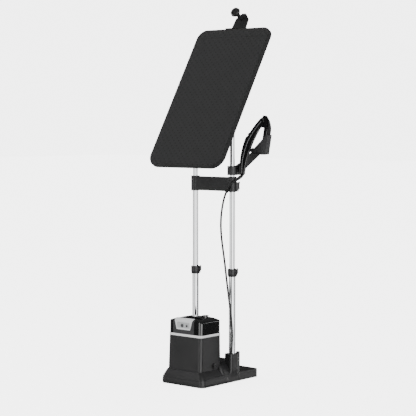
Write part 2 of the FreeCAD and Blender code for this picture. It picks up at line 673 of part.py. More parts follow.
def hanger_arm():
    """The folding arm: a bevelled plate above the board's edge."""
    low = HOOK_Z + 3
    points = [(-39.4, low), (-35, low + 56), (-10, low + 84), (10, low + 84), (35, low + 56), (39.4, low)]
    arm = outline(points, 9.0)
    arm.translate(V(0, HOOK_Y, 0))
    arm = arm.fuse(rod(4.5, (-39.4, HOOK_Y, low), (39.4, HOOK_Y, low))).removeSplitter()
    return tilt(arm.cut(rod(2.08, (-60, HOOK_Y, low), (60, HOOK_Y, low))))


def hanger_peg():
    """The peg and its round knob, standing forward from the arm."""
    z = HOOK_Z + 57
    front, widest, back = HOOK_Y - 66, HOOK_Y - 56, HOOK_Y - 45
    neck = rod(9.0, (0, back - 1, z), (0, HOOK_Y - 4.5, z))
    knob = cone(20.0, 23.0, (0, front, z), (0, widest, z)).fuse(cone(23.0, 16.0, (0, widest, z), (0, back, z)))
    knob = knob.cut(rod(13.0, (0, front - 1, z), (0, front + 5, z)))
    return tilt(join([neck, knob]))


# ---- steam head and its holder: modelled along X, then turned about the right pole ----
def head_place(shape):
    shape = shape.copy()
    shape.rotate(V(0, 0, 0), V(0, 0, 1), HEAD_TURN)
    shape.translate(V(POLE_X, POLE_Y, 0))
    return shape


SOLE_LEAN = 8.0
SOLE_HEEL = (151.0, 1008.0)


def sole_line(z, back):
    """The sole's outer face at height z, moved inwards by back."""
    return SOLE_HEEL[0] + (z - SOLE_HEEL[1]) * math.tan(math.radians(SOLE_LEAN)) - back


def sole_outline(grow):
    """The sole as seen from outside: pointed at the top, square at the heel."""
    half = 46.0 + grow
    heel, tip = SOLE_HEEL[1] - grow, 1171.0 + grow
    points = [V(0, -half, heel + 10), V(0, -half, 1085), V(0, 0, tip), V(0, half, 1085),
              V(0, half, heel + 10), V(0, half - 10, heel), V(0, -half + 10, heel)]
    edges = [
        Part.LineSegment(points[0], points[1]).toShape(),
        Part.Arc(points[1], V(0, -half * 0.70, 1136), points[2]).toShape(),
        Part.Arc(points[2], V(0, half * 0.70, 1136), points[3]).toShape(),
        Part.LineSegment(points[3], points[4]).toShape(),
        Part.LineSegment(points[4], points[5]).toShape(),
        Part.LineSegment(points[5], points[6]).toShape(),
        Part.LineSegment(points[6], points[0]).toShape(),
    ]
    return Part.Face(Part.Wire(edges)).extrude(V(260, 0, 0))


def sole_layer(outer_back, inner_back, grow):
    """A layer of the sole unit: between two faces that lean together, rounded in at the nose."""
    z0, z1, nose = 990.0, 1106.0, 1171.0
    points = [(sole_line(z0, outer_back), z0), (sole_line(z1, outer_back), z1),
              (162.5 - outer_back, 1142.0, True), (149.5 - outer_back * 0.9, nose + 2),
              (149.5 - inner_back * 0.9, nose + 2), (162.5 - inner_back, 1142.0, True),
              (sole_line(z1, inner_back), z1), (sole_line(z0, inner_back), z0)]
    return outline(points, 130.0).common(sole_outline(grow))


def soleplate():
    return head_place(sole_layer(0.0, 4.0, -1.5))


def steam_chamber():
    return head_place(sole_layer(8.2, 12.5, -12.0).common(block(0, 300, -60, 60, 1020, 1120)))


def head_skirt():
    """The housing behind the soleplate, with a hollow for the steam chamber."""
    body = sole_layer(4.1, 20.0, 0.0)
    return head_place(body.cut(sole_layer(4.0, 13.0, -11.0).common(block(0, 300, -60, 60, 1018, 1122))))


HANDLE_OUT = [(35.7, 913.0), (35.7, 969.5), (44.5, 1024.0, True), (61.0, 1075.0), (73.0, 1086.0),
              (97.0, 1123.0, True), (125.0, 1156.0), (137.0, 1166.0)]
HANDLE_IN = [(175.0, 1166.0), (175.0, 1064.0), (139.0, 1064.0), (139.0, 1094.0), (132.0, 1119.0, True),
             (119.0, 1108.0), (79.0, 1022.0, True), (53.5, 913.0)]


def head_shell():
    """The handle and the front body, in one arched piece with a finger gap."""
    body = outline(HANDLE_OUT + HANDLE_IN, 34.0)
    body = body.cut(sole_layer(-40.0, 20.1, 20.0)).cut(rod(6.0, (44.6, 0, 900), (44.6, 0, 935)))
    body = body.cut(button_space())
    return head_place(max(body.Solids, key=lambda solid: solid.Volume))


def button_space():
    """The well for the thumb button, on the outer side of the handle."""
    well = block(-10.3, 10.3, -9.3, 9.3, -8.3, 30)
    return button_pose(well)


def button_pose(shape):
    shape = shape.copy()
    shape.rotate(V(0, 0, 0), V(0, 1, 0), -BUTTON_ANGLE)
    shape.translate(V(*BUTTON_AT))
    return shape


BUTTON_AT = (79.0, 0.0, 1092.0)
BUTTON_ANGLE = 37.0


def steam_button():
    """The thumb button: pressed along its own axis into the handle."""
    key = rounded_block(-9.8, 9.8, -8.8, 8.8, 3.0, -4.0, 4.6)
    return head_place(button_pose(key))


BOOT = [(145.1, 43.5, 912.9), (142.5, 32.0, 903.0), (137.0, 20.5, 895.0), (131.0, 10.0, 887.0)]
BOOT_RADII = [7.8, 7.4, 6.8, 5.6]


def strain_relief():
    """The curved, tapered rubber boot between the heel and the hose."""
    points = [V(*p) for p in BOOT]
    rings = []
    for index, point in enumerate(points):
        before, after = points[max(index - 1, 0)], points[min(index + 1, len(points) - 1)]
        direction = V(0, 0, -1) if index == 0 else after - before
        rings.append(Part.Wire(Part.Circle(point, direction, BOOT_RADII[index]).toShape()))
    plug = head_place(rod(5.9, (44.6, 0, 912.9), (44.6, 0, 932)))
    return loft(rings).fuse(plug).removeSplitter()


ARM_INSIDE, ARM_OUTSIDE = 20.0, 31.0


def plan(points, z0, z1):
    """An outline seen from above, extruded from z0 to z1."""
    corners = [V(x, y, z0) for x, y in points]
    return Part.Face(Part.makePolygon(corners + corners[:1])).extrude(V(0, 0, z1 - z0))


def head_holder():
    """The clamp on the right pole, the arm behind the handle, and the pocket that the head stands in."""
    collar = rod(22.0, (0, 0, HOLDER_BOTTOM), (0, 0, HOLDER_TOP))
    bridge = plan([(-6, 4), (20, 4), (30, ARM_INSIDE), (30, ARM_OUTSIDE), (4, ARM_OUTSIDE)],
                  HOLDER_BOTTOM, HOLDER_TOP)
    arm = outline([(4, HOLDER_BOTTOM), (22, HOLDER_BOTTOM), (57, 941), (125, 1007), (131, 1018),
                   (92, 1022), (31, 966), (8, HOLDER_TOP), (4, HOLDER_TOP)], ARM_OUTSIDE - ARM_INSIDE)
    arm.translate(V(0, (ARM_INSIDE + ARM_OUTSIDE) / 2, 0))
    holder = join([collar, bridge, arm, pocket_body()]).cut(pocket_space())
    return head_place(holder.cut(rod(UPPER_TUBE_R + 0.05, (0, 0, 800), (0, 0, 1000))))


def pocket_body():
    """The pocket's outside: wide round the sole and tapered towards the arm."""
    z0, z1 = 1001.0, 1086.0
    side = outline([(sole_line(z0, -4.5), z0), (sole_line(z1, -4.5), z1), (sole_line(z1, 8.0), z1),
                    (139.0, 1067.0), (97.0, 1024.0), (84.0, 1032.0), (81.0, 1013.0), (128.0, 1009.0),
                    (132.0, z0)], 120.0)
    return side.common(plan([(80, -30), (140, -52), (190, -52), (190, 52), (140, 52), (80, 30)], 990, 1100))


def pocket_space():
    """The space that the sole unit slides down into, and the slot behind it for the handle's body."""
    z0, z1 = SOLE_HEEL[1] - 0.8, 1300.0
    sole = outline([(sole_line(z0, -1.2), z0), (sole_line(z1, -1.2), z1), (sole_line(z1, 21.5), z1),
                    (sole_line(z0, 21.5), z0)], 95.0)
    rear = plan([(70, -19.5), (100, -24), (136, -38), (150, -38), (150, 38), (136, 38), (100, 24), (70, 19.5)],
                990, z1)
    return sole.fuse(rear.common(outline([(60, z0), (190, z0), (190, z1), (60, z1)], 100.0)))


# ---- hose ----
LOWER_ROUTE = [(118.5, 4, 127.5), (119.5, 4, 160), (122.5, 3.5, 205), (121, 2, 255), (117, 0, 305),
               (110.5, -3, 355), (105, -6, 405), (99, -8, 455), (92, -8, 505), (84, -8, 555),
               (75, -8, 605), (69, -9, 650), (67.5, -10, 695), (70, -10, 740), (77, -9, 780),
               (84.5, -8, 810), (91, -7, 828), (98, -6.5, 841)]
UPPER_ROUTE = [(98, -6.5, 841), (103.6, -6.1, 851.4), (111, -5.6, 862), (119, -3.6, 871.5),
               (126.2, 1.6, 880.6), (131, 10, 887)]


def cord_path(points):
    """Straight runs joined by tangent arcs, each arc as large as its two runs allow."""
    points = [V(*p) for p in points]
    edges, radii, start = [], [], points[0]
    for before, here, after in zip(points, points[1:], points[2:]):
        a, b = (before - here), (after - here)
        turn = math.pi - a.getAngle(b)
        reach = 0.45 * min(a.Length, b.Length)
        radius = reach / math.tan(turn / 2)
        radii.append(radius)
        a.normalize()
        b.normalize()
        first, last = here + a * reach, here + b * reach
        bisector = a + b
        bisector.normalize()
        middle = here + bisector * (radius / math.cos(turn / 2) - radius)
        edges.append(Part.LineSegment(start, first).toShape())
        edges.append(Part.Arc(first, middle, last).toShape())
        start = last
    edges.append(Part.LineSegment(start, points[-1]).toShape())
    return Part.Wire(edges), radii


def hose(name, points):
    path, radii = cord_path(points)
    direction = V(*points[1]) - V(*points[0])
    circle = Part.Wire(Part.Circle(V(*points[0]), direction, HOSE_R).toShape())
    tube = path.makePipeShell([circle], True, False)
    wanted = math.pi * HOSE_R ** 2 * path.Length
    print("%s length %.1f volume ratio %.4f radii %s" % (
        name, path.Length, tube.Volume / wanted, [round(r) for r in radii]))
    return tube


# ---- write the parts ----
os.makedirs("parts", exist_ok=True)
save("base_platform", base_platform())
save("base_plate", base_plate())
save("ballast_plate", rounded_block(-80, 80, 70, 165, 12, 6.2, 16))
save("rubber_feet", rubber_feet())
save("bottom_screws", bottom_screws())
save("socket_liners", socket_liners())
save("generator_casing", generator_casing())
save("trim_band", trim_band())
save("tank_deck", tank_deck())
save("control_panel", control_panel())
save("panel_face", panel_face())
for name, (x, z, radius) in BUTTONS.items():
    save(name + "_button", push_button(x, z, radius))
save("descaling_cap", descaling_cap())
save("boiler", boiler())
save("pump", rounded_block(58, 82, -165, -120, 5, 80, 140))
save("circuit_board", block(-84, -80, -160, -60, 80, 190))
save("steam_valve", rounded_block(52, 78, -110, -84, 4, 150, 190))
save("steam_pipe", steam_pipe())
save("hose_gland", hose_gland())
save("cord_inlet", pipe(6.9, 3.5, (0, 190, 20), (0, 202, 20)))
save("tank_shell", tank_shell())
save("tank_valve", tank_valve())
save("tank_lid", tank_lid())
save("lower_tubes", Part.makeCompound([lower_tube(side) for side in SIDES.values()]))
save("upper_tubes", Part.makeCompound([upper_tube(side) for side in SIDES.values()]))
for name, side in SIDES.items():
    save("lower_collar_" + name, lower_collar(side))
    save("collar_lever_" + name, collar_lever(side))
    save("middle_tube_" + name, middle_tube(side))
    save("mast_lever_" + name, mast_lever(side))
save("collar_pins", cross_pins(COLLAR_PIN, 6.4))
save("mast_pins", cross_pins(MAST_PIN, 8.9))
save("guide_bushes", guide_bushes())
save("crossbar", crossbar())
save("crossbar_cover", crossbar_cover())
save("hose_clip", hose_clip())
save("hinge_bracket", head_bracket())
save("hinge_pin", hinge_pin())
save("tilt_lever", tilt_lever())
save("board_core", board_core())
save("board_cover", board_cover())
save("board_hinge", board_hinge())
save("hook_mount", hook_mount())
save("hook_pin", hook_pin())
save("hanger_arm", hanger_arm())
save("hanger_peg", hanger_peg())
save("head_holder", head_holder())
save("head_shell", head_shell())
save("head_skirt", head_skirt())
save("soleplate", soleplate())
save("steam_chamber", steam_chamber())
save("steam_button", steam_button())
save("strain_relief", strain_relief())
save("steam_hose_lower", hose("steam_hose_lower", LOWER_ROUTE))
save("steam_hose_upper", hose("steam_hose_upper", UPPER_ROUTE))
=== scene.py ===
"""Looks of the garment steam station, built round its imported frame. Metres, +Z up."""

import json
import logging
import math
from dataclasses import dataclass, field
from enum import Enum
from typing import Callable, Iterable

import bpy
import bmesh
from mathutils import Matrix, Vector


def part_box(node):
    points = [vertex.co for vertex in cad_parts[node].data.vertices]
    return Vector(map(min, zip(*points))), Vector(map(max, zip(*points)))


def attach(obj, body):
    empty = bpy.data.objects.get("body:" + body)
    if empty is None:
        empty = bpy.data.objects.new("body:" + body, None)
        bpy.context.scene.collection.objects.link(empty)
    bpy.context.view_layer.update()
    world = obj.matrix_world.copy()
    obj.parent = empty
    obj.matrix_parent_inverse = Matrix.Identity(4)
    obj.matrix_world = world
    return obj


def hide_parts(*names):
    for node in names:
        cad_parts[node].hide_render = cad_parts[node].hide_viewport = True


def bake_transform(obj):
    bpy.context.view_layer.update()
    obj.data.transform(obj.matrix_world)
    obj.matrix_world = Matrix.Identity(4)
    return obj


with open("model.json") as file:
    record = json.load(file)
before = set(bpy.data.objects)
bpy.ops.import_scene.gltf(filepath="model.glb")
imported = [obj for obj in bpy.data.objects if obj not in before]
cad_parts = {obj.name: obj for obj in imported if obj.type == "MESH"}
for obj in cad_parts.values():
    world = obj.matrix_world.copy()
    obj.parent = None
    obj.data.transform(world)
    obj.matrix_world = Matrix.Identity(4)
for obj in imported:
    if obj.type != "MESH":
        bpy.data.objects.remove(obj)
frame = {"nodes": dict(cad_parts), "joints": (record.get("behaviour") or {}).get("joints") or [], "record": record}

LOG = logging.getLogger("steam_station")
MM = 0.001


class Body(str, Enum):
    """The moving bodies that pieces ride on."""

    BASE = "base"
    MAST = "mast"
    BOARD = "board"
    HEAD = "steam_head"


# ---------------------------------------------------------------- frame helpers
def joint(name: str) -> dict:
    """The record's joint of that name.

    Args:
        name: the joint's name.

    Returns:
        The joint as the record holds it.
    """
    return next(j for j in frame["joints"] if j["name"] == name)


def body_of(node: str) -> str:
    """The body that a CAD node rides on.

    Args:
        node: the node's name.

    Returns:
        The body's name.
    """
    bodies = frame["record"]["behaviour"]["bodies"]
    return next(body for body, nodes in bodies.items() if node in nodes)


def slot_of(node: str) -> str:
    """The record's material slot of a CAD node.

    Args:
        node: the node's name.

    Returns:
        The slot's name.
    """
    return next(s["material_slot"] for s in frame["record"]["subparts"] if s["node"] == node)


def board_matrix() -> Matrix:
    """The turn that takes an upright board to its tilted place about the hinge."""
    hinge = joint("board_tilt")
    pivot = Vector(hinge["pos_m"])
    angle = -math.radians(hinge["range_deg"][1])
    return Matrix.Translation(pivot) @ Matrix.Rotation(angle, 4, "X") @ Matrix.Translation(-pivot)


# ---------------------------------------------------------------- shader groups
def new_group(name: str, inputs: Iterable[tuple[str, str, float]],
              outputs: Iterable[tuple[str, str]]) -> tuple[bpy.types.NodeTree, Callable]:
    """Starts a shader node group.

    Args:
        name: the group's name.
        inputs: name, kind and default of each input.
        outputs: name and kind of each output.

    Returns:
        The tree, and a function that adds a node of a type to it.
    """
    tree = bpy.data.node_groups.new(name, "ShaderNodeTree")
    for label, kind, value in inputs:
        socket = tree.interface.new_socket(name=label, in_out="INPUT", socket_type=kind)
        if kind == "NodeSocketFloat":
            socket.default_value = value
    for label, kind in outputs:
        tree.interface.new_socket(name=label, in_out="OUTPUT", socket_type=kind)
    return tree, tree.nodes.new


def math_node(tree: bpy.types.NodeTree, operation: str, first, second=None) -> bpy.types.NodeSocket:
    """Adds a Math node.

    Args:
        tree: the tree that it goes in.
        operation: the node's operation.
        first: a socket or a number.
        second: a socket, a number or nothing.

    Returns:
        The node's output.
    """
    node = tree.nodes.new("ShaderNodeMath")
    node.operation = operation
    for index, value in enumerate((first, second)):
        if value is None:
            continue
        if isinstance(value, (int, float)):
            node.inputs[index].default_value = value
        else:
            tree.links.new(value, node.inputs[index])
    return node.outputs[0]


def spread_value(tree: bpy.types.NodeTree, value, low, high) -> bpy.types.NodeSocket:
    """Maps a value from 0..1 to low..high.

    Args:
        tree: the tree that it goes in.
        value: the socket to map.
        low: a socket or a number for 0.
        high: a socket or a number for 1.

    Returns:
        The mapped value.
    """
    node = tree.nodes.new("ShaderNodeMapRange")
    tree.links.new(value, node.inputs["Value"])
    for label, bound in (("To Min", low), ("To Max", high)):
        if isinstance(bound, (int, float)):
            node.inputs[label].default_value = bound
        else:
            tree.links.new(bound, node.inputs[label])
    return node.outputs["Result"]


def build_grain_group() -> bpy.types.NodeTree:
    """The fine spark-eroded grain of moulded plastic, as a height.

    Returns:
        The group's tree.
    """
    tree, add = new_group("moulded_grain",
                          [("Vector", "NodeSocketVector", 0), ("Scale", "NodeSocketFloat", 900)],
                          [("Height", "NodeSocketFloat")])
    source, sink = add("NodeGroupInput"), add("NodeGroupOutput")
    noise, cells = add("ShaderNodeTexNoise"), add("ShaderNodeTexVoronoi")
    noise.inputs["Detail"].default_value = 3.0
    for texture in (noise, cells):
        tree.links.new(source.outputs["Vector"], texture.inputs["Vector"])
        tree.links.new(source.outputs["Scale"], texture.inputs["Scale"])
    pits = math_node(tree, "MULTIPLY", cells.outputs["Distance"], 0.6)
    height = math_node(tree, "ADD", noise.outputs["Fac"], pits)
    tree.links.new(height, sink.inputs["Height"])
    return tree


def build_handling_group() -> bpy.types.NodeTree:
    """Soft smudges of handling: a colour shift and a roughness that vary over the surface.

    Returns:
        The group's tree.
    """
    tree, add = new_group("handling_marks",
                          [("Vector", "NodeSocketVector", 0), ("Size", "NodeSocketFloat", 18),
                           ("Smooth", "NodeSocketFloat", 0.3), ("Rough", "NodeSocketFloat", 0.5),
                           ("Dark", "NodeSocketColor", 0), ("Light", "NodeSocketColor", 0)],
                          [("Color", "NodeSocketColor"), ("Roughness", "NodeSocketFloat")])
    source, sink = add("NodeGroupInput"), add("NodeGroupOutput")
    broad, fine = add("ShaderNodeTexNoise"), add("ShaderNodeTexNoise")
    broad.inputs["Detail"].default_value = 4.0
    fine.inputs["Detail"].default_value = 2.0
    for texture in (broad, fine):
        tree.links.new(source.outputs["Vector"], texture.inputs["Vector"])
    tree.links.new(source.outputs["Size"], broad.inputs["Scale"])
    tree.links.new(math_node(tree, "MULTIPLY", source.outputs["Size"], 9.0), fine.inputs["Scale"])
    blotch = spread_value(tree, broad.outputs["Fac"], -0.6, 1.6)
    speck = spread_value(tree, fine.outputs["Fac"], -0.2, 0.2)
    amount = math_node(tree, "ADD", blotch, speck)
    rough = spread_value(tree, amount, source.outputs["Smooth"], source.outputs["Rough"])
    mix = add("ShaderNodeMix")
    mix.data_type = "RGBA"
    tree.links.new(amount, mix.inputs["Factor"])
    tree.links.new(source.outputs["Dark"], mix.inputs["A"])
    tree.links.new(source.outputs["Light"], mix.inputs["B"])
    tree.links.new(mix.outputs["Result"], sink.inputs["Color"])
    tree.links.new(rough, sink.inputs["Roughness"])
    return tree


def build_weave_group() -> bpy.types.NodeTree:
    """A plain weave: warp and weft threads that pass over each other, as a height.

    Returns:
        The group's tree.
    """
    tree, add = new_group("plain_weave",
                          [("Vector", "NodeSocketVector", 0), ("Threads", "NodeSocketFloat", 600)],
                          [("Height", "NodeSocketFloat")])
    source, sink = add("NodeGroupInput"), add("NodeGroupOutput")
    split = add("ShaderNodeSeparateXYZ")
    tree.links.new(source.outputs["Vector"], split.inputs[0])
    waves = []
    for axis in ("X", "Z"):
        turns = math_node(tree, "MULTIPLY", split.outputs[axis], source.outputs["Threads"])
        waves.append(math_node(tree, "SINE", math_node(tree, "MULTIPLY", turns, math.tau)))
    over = math_node(tree, "MULTIPLY", waves[0], waves[1])
    tree.links.new(spread_value(tree, math_node(tree, "ADD", over, 0.5), 0.0, 1.0), sink.inputs["Height"])
    return tree


def build_motif_group() -> bpy.types.NodeTree:
    """A staggered lattice of small round-cornered lozenges, as a mask.

    Returns:
        The group's tree.
    """
    tree, add = new_group("lozenge_lattice",
                          [("Vector", "NodeSocketVector", 0), ("Across", "NodeSocketFloat", 0.029),
                           ("Along", "NodeSocketFloat", 0.026), ("Reach", "NodeSocketFloat", 0.004)],
                          [("Mask", "NodeSocketFloat")])
    source, sink = add("NodeGroupInput"), add("NodeGroupOutput")
    split = add("ShaderNodeSeparateXYZ")
    tree.links.new(source.outputs["Vector"], split.inputs[0])
    masks = []
    for shift in (0.0, 0.5):
        parts = []
        for axis, pitch in (("X", "Across"), ("Z", "Along")):
            pitches = math_node(tree, "DIVIDE", split.outputs[axis], source.outputs[pitch])
            steps = math_node(tree, "ADD", pitches, shift + 50.0)
            centred = math_node(tree, "SUBTRACT", math_node(tree, "FRACT", steps), 0.5)
            metres = math_node(tree, "MULTIPLY", math_node(tree, "ABSOLUTE", centred), source.outputs[pitch])
            parts.append(math_node(tree, "POWER", metres, 1.3))
        distance = math_node(tree, "POWER", math_node(tree, "ADD", parts[0], parts[1]), 1 / 1.3)
        edge = math_node(tree, "DIVIDE", distance, source.outputs["Reach"])
        clear = add("ShaderNodeMapRange")
        clear.inputs["From Min"].default_value = 0.8
        clear.inputs["From Max"].default_value = 1.15
        clear.inputs["To Min"].default_value = 1.0
        clear.inputs["To Max"].default_value = 0.0
        tree.links.new(edge, clear.inputs["Value"])
        masks.append(clear.outputs["Result"])
    tree.links.new(math_node(tree, "MAXIMUM", masks[0], masks[1]), sink.inputs["Mask"])
    return tree


GRAIN = build_grain_group()
HANDLING = build_handling_group()
WEAVE = build_weave_group()
MOTIF = build_motif_group()


# ---------------------------------------------------------------- finishes
class Shaded:
    """A material under construction, with its Principled shader and object coordinates."""

    def __init__(self, name: str) -> None:
        """Starts the material with a Principled shader.

        Args:
            name: the material's name.
        """
        self.material = bpy.data.materials.new(name)
        self.material.use_nodes = True
        self.tree = self.material.node_tree
        self.shader = self.tree.nodes["Principled BSDF"]
        self.place = self.tree.nodes.new("ShaderNodeTexCoord").outputs["Object"]

    def put(self, **values: float) -> None:
        """Sets constants on the shader's own sockets; underscores stand for spaces."""
        for label, value in values.items():
            self.shader.inputs[label.replace("_", " ")].default_value = value

    def group(self, tree: bpy.types.NodeTree, vector=None, **values: float) -> bpy.types.Node:
        """Places a shared effect.

        Args:
            tree: the group's tree.
            vector: the coordinates that it reads, or nothing for the object's own.
            **values: its inputs.

        Returns:
            The group node.
        """
        node = self.tree.nodes.new("ShaderNodeGroup")
        node.node_tree = tree
        self.tree.links.new(vector or self.place, node.inputs["Vector"])
        for label, value in values.items():
            node.inputs[label].default_value = value
        return node

    def marks(self, dark: tuple, light: tuple, smooth: float, rough: float, size: float) -> None:
        """Wires handling marks into colour and roughness.

        Args:
            dark: the main colour.
            light: the worn colour.
            smooth: the lowest roughness.
            rough: the highest roughness.
            size: how many marks fit in a metre.
        """
        node = self.group(HANDLING, Size=size, Smooth=smooth, Rough=rough, Dark=(*dark, 1), Light=(*light, 1))
        self.tree.links.new(node.outputs["Color"], self.shader.inputs["Base Color"])
        self.tree.links.new(node.outputs["Roughness"], self.shader.inputs["Roughness"])

    def bump(self, height: bpy.types.NodeSocket, strength: float, distance: float) -> None:
        """Wires a height into the normal.

        Args:
            height: the height socket.
            strength: the bump's strength.
            distance: the height's size in metres.
        """
        node = self.tree.nodes.new("ShaderNodeBump")
        node.inputs["Strength"].default_value = strength
        node.inputs["Distance"].default_value = distance
        self.tree.links.new(height, node.inputs["Height"])
        self.tree.links.new(node.outputs["Normal"], self.shader.inputs["Normal"])


@dataclass(frozen=True)
class MouldedPlastic:
    """Moulded plastic with a fine grain and the marks of handling."""

    name: str
    colour: tuple[float, float, float]
    worn: tuple[float, float, float]
    smooth: float = 0.32
    rough: float = 0.5
    grain: float = 900.0
    relief: float = 0.25
    coat: float = 0.0

    def build(self) -> bpy.types.Material:
        """Builds the material."""
        made = Shaded(self.name)
        made.marks(self.colour, self.worn, self.smooth, self.rough, 14.0)
        made.bump(made.group(GRAIN, Scale=self.grain).outputs["Height"], self.relief, 0.15 * MM)
        made.put(Coat_Weight=self.coat, Coat_Roughness=0.06)
        return made.material


@dataclass(frozen=True)
class PolishedMetal:
    """Metal: drawn, polished or cast, with faint marks."""

    name: str
    colour: tuple[float, float, float]
    worn: tuple[float, float, float]
    smooth: float
    rough: float
    grain: float = 300.0
    relief: float = 0.02

    def build(self) -> bpy.types.Material:
        """Builds the material."""
        made = Shaded(self.name)
        made.marks(self.colour, self.worn, self.smooth, self.rough, 22.0)
        made.bump(made.group(GRAIN, Scale=self.grain).outputs["Height"], self.relief, 0.1 * MM)
        made.put(Metallic=1.0)
        return made.material


@dataclass(frozen=True)
class BoardCloth:
    """The board cover's dark woven cloth with its printed lozenges."""

    name: str = "board_cloth"
    ground: tuple[float, float, float] = (0.0140, 0.0140, 0.0145)
    faded: tuple[float, float, float] = (0.0160, 0.0160, 0.0165)
    motif: tuple[float, float, float] = (0.0050, 0.0050, 0.0052)
    threads: float = 560.0
    across: float = 0.029
    along: float = 0.026
    reach: float = 0.0043

    def build(self) -> bpy.types.Material:
        """Builds the material, with its pattern laid in the tilted board's plane."""
        made = Shaded(self.name)
        turn = made.tree.nodes.new("ShaderNodeMapping")
        turn.inputs["Rotation"].default_value[0] = math.radians(joint("board_tilt")["range_deg"][1])
        made.tree.links.new(made.place, turn.inputs["Vector"])
        flat = turn.outputs["Vector"]
        weave = made.group(WEAVE, flat, Threads=self.threads).outputs["Height"]
        lattice = made.group(MOTIF, flat, Across=self.across, Along=self.along, Reach=self.reach)
        marks = made.group(HANDLING, Size=9.0, Smooth=0.82, Rough=0.96, Dark=(*self.ground, 1),
                           Light=(*self.faded, 1))
        printed = made.tree.nodes.new("ShaderNodeMix")
        printed.data_type = "RGBA"
        printed.inputs["B"].default_value = (*self.motif, 1)
        made.tree.links.new(marks.outputs["Color"], printed.inputs["A"])
        made.tree.links.new(lattice.outputs["Mask"], printed.inputs["Factor"])
        threads = made.tree.nodes.new("ShaderNodeMix")
        threads.data_type = "RGBA"
        threads.blend_type = "MULTIPLY"
        # The weave's height also scales the colour. It is darker in the hollows between threads and lighter on
        # their crowns: painted shade and highlight of the weave.
        shade = spread_value(made.tree, weave, 0.72, 1.12)
        grey = made.tree.nodes.new("ShaderNodeCombineColor")
        for label in ("Red", "Green", "Blue"):
            made.tree.links.new(shade, grey.inputs[label])
        threads.inputs["Factor"].default_value = 1.0
        made.tree.links.new(printed.outputs["Result"], threads.inputs["A"])
        made.tree.links.new(grey.outputs["Color"], threads.inputs["B"])
        made.tree.links.new(threads.outputs["Result"], made.shader.inputs["Base Color"])
        made.tree.links.new(marks.outputs["Roughness"], made.shader.inputs["Roughness"])
        made.bump(weave, 0.5, 0.3 * MM)
        made.put(Sheen_Weight=0.06, Sheen_Roughness=0.5)
        return made.material


FINISHES = [
    MouldedPlastic("base_plastic", (0.0145, 0.0145, 0.015), (0.0190, 0.0190, 0.0196), 0.36, 0.48),
    MouldedPlastic("casing_plastic", (0.0135, 0.0135, 0.014), (0.0170, 0.0170, 0.0176), 0.36, 0.46),
    MouldedPlastic("clamp_plastic", (0.0120, 0.0120, 0.0125), (0.0170, 0.0170, 0.0178), 0.34, 0.52, 1100),
    MouldedPlastic("holder_plastic", (0.022, 0.022, 0.023), (0.028, 0.028, 0.029), 0.36, 0.5, 1000),
    MouldedPlastic("board_shell", (0.013, 0.013, 0.014), (0.017, 0.017, 0.018), 0.42, 0.6, 700, 0.4),
    MouldedPlastic("inner_plastic", (0.03, 0.03, 0.032), (0.038, 0.038, 0.04), 0.4, 0.55),
    MouldedPlastic("white_trim", (0.93, 0.93, 0.93), (0.88, 0.88, 0.88), 0.18, 0.3, 800, 0.05, 0.3),
    MouldedPlastic("panel_white", (0.80, 0.81, 0.82), (0.75, 0.76, 0.77), 0.2, 0.32, 800, 0.06, 0.4),
    MouldedPlastic("panel_grey", (0.50, 0.51, 0.52), (0.45, 0.46, 0.47), 0.25, 0.4, 800, 0.06, 0.3),
    MouldedPlastic("button_grey", (0.05, 0.05, 0.053), (0.07, 0.07, 0.073), 0.3, 0.45, 900, 0.12),
    MouldedPlastic("tank_smoke", (0.0035, 0.0035, 0.004), (0.007, 0.007, 0.0078), 0.05, 0.14, 300, 0.01, 1.0),
    MouldedPlastic("head_gloss", (0.0035, 0.0035, 0.004), (0.006, 0.006, 0.0065), 0.07, 0.18, 300, 0.01, 1.0),
    MouldedPlastic("accent_grey", (0.06, 0.06, 0.063), (0.08, 0.08, 0.083), 0.2, 0.34, 600, 0.05, 0.3),
    # A pale grey that paints the highlight along the handle's edge, on a real raised bead.
    MouldedPlastic("bead_highlight_grey", (0.22, 0.22, 0.225), (0.26, 0.26, 0.265), 0.14, 0.26, 600, 0.03, 0.5),
    MouldedPlastic("rubber", (0.009, 0.009, 0.009), (0.014, 0.014, 0.014), 0.55, 0.75, 1300, 0.4),
    MouldedPlastic("hose_rubber", (0.006, 0.006, 0.006), (0.010, 0.010, 0.010), 0.36, 0.52, 1500, 0.5),
    MouldedPlastic("circuit", (0.02, 0.10, 0.04), (0.03, 0.14, 0.06), 0.3, 0.5),
    MouldedPlastic("cord_elastic", (0.015, 0.015, 0.0155), (0.022, 0.022, 0.023), 0.7, 0.9, 1600, 0.7),
    PolishedMetal("chrome_tube", (0.86, 0.87, 0.88), (0.80, 0.81, 0.82), 0.035, 0.10),
    PolishedMetal("steel", (0.52, 0.52, 0.54), (0.42, 0.42, 0.43), 0.22, 0.38, 500, 0.1),
    PolishedMetal("copper_pipe", (0.72, 0.42, 0.26), (0.55, 0.30, 0.18), 0.2, 0.35),
    PolishedMetal("sole_metal", (0.045, 0.045, 0.047), (0.06, 0.06, 0.062), 0.22, 0.34, 700, 0.06),
    PolishedMetal("chamber_metal", (0.55, 0.55, 0.56), (0.46, 0.46, 0.47), 0.4, 0.6, 400, 0.5),
    BoardCloth("board_fabric"),
]
MATERIALS = {finish.name: finish.build() for finish in FINISHES}


# ---------------------------------------------------------------- modelling helpers
def deselect() -> None:
    """Leaves edit mode and deselects everything."""
    if bpy.context.object and bpy.context.object.mode != "OBJECT":
        bpy.ops.object.mode_set(mode="OBJECT")
    bpy.ops.object.select_all(action="DESELECT")


def select_only(piece: bpy.types.Object) -> None:
    """Makes one piece the only selected and the active one.

    Args:
        piece: the piece.
    """
    deselect()
    piece.select_set(True)
    bpy.context.view_layer.objects.active = piece


